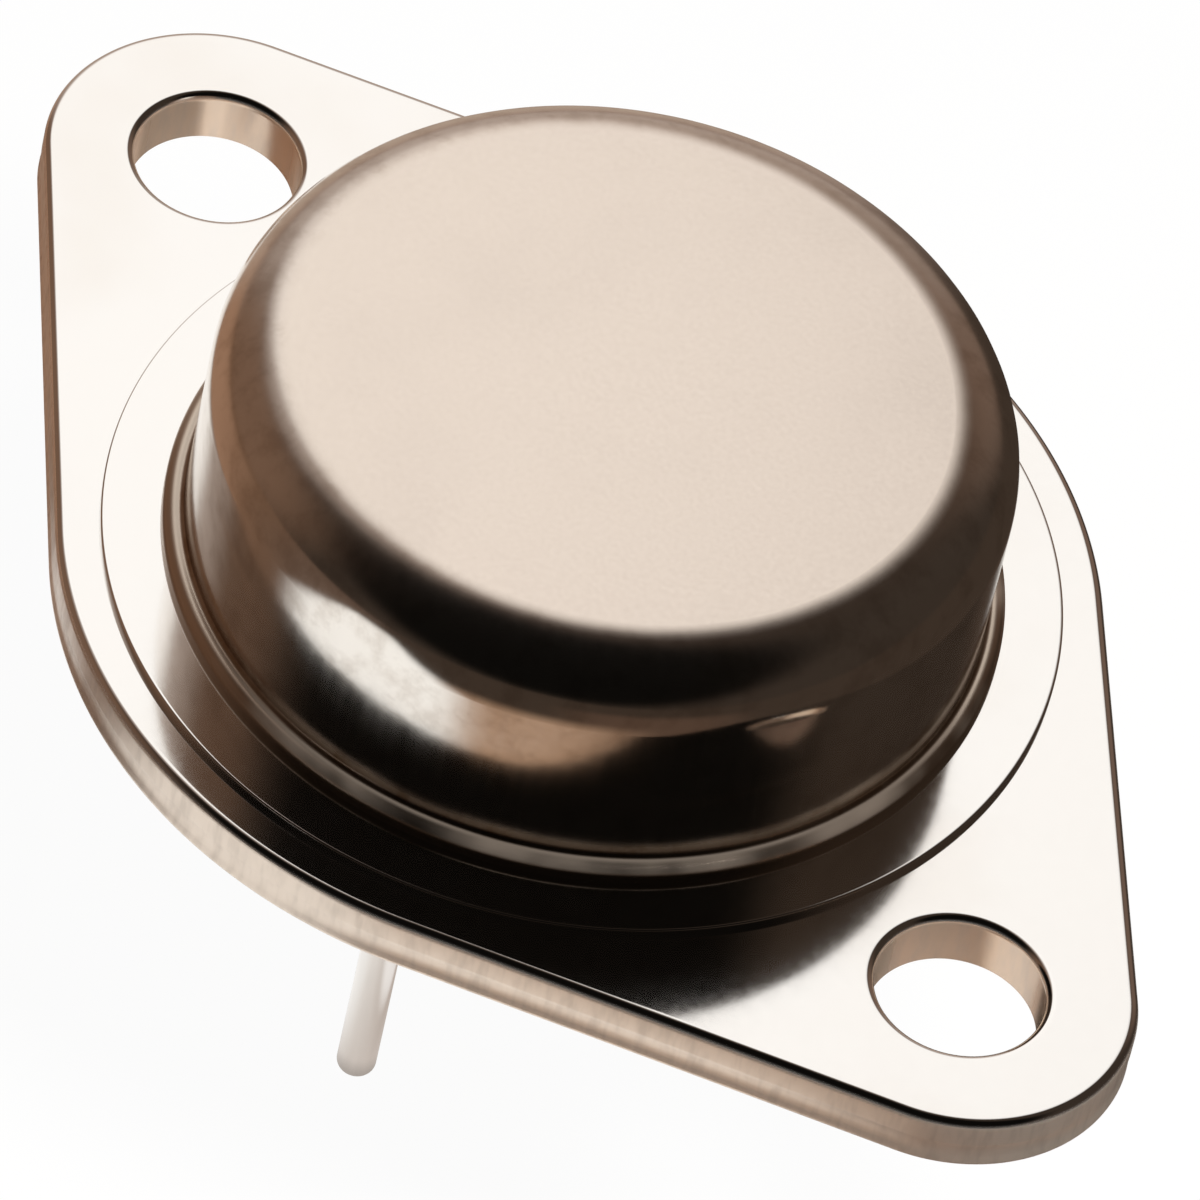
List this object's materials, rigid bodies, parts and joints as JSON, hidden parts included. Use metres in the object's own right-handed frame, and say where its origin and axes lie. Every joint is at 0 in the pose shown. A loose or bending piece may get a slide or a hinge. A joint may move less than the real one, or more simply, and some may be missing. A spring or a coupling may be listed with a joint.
{
  "type": "voltage regulator",
  "caption": "Metal-can voltage regulator: diamond-shaped steel base plate with a mounting hole at each end, a round welded cap on top and straight glass-sealed pins below.",
  "frame": {"origin": "centre of the seating face, midway between the two mounting holes", "axes": "+Z from the seating face towards the cap; +X along the line of the mounting holes, to the side the pins are set towards; the input pin is on the -Y side"},
  "size_m": [0.0386, 0.0254, 0.0207],
  "materials": {
    "header_plating": "satin nickel plate on steel",
    "cap_plating": "bright nickel plate, satin on the flat top",
    "pin_plating": "bright nickel plate",
    "seal_glass": "fused dark glass",
    "copper": "satin copper",
    "braze": "matte braze",
    "solder": "satin solder",
    "silicon": "polished silicon",
    "bond_aluminium": "satin"
  },
  "bodies": {
    "root": {"base_plate": "header_plating", "cap": "cap_plating", "input_pin": "pin_plating", "output_pin": "pin_plating", "input_seal": "seal_glass", "output_seal": "seal_glass", "spreader_braze": "braze", "heat_spreader": "copper", "chip_solder": "solder", "chip": "silicon", "bond_pads": "bond_aluminium", "input_wire": "bond_aluminium", "output_wire": "bond_aluminium", "sense_wire": "bond_aluminium", "ground_wire": "bond_aluminium"}
  },
  "joints": []
}
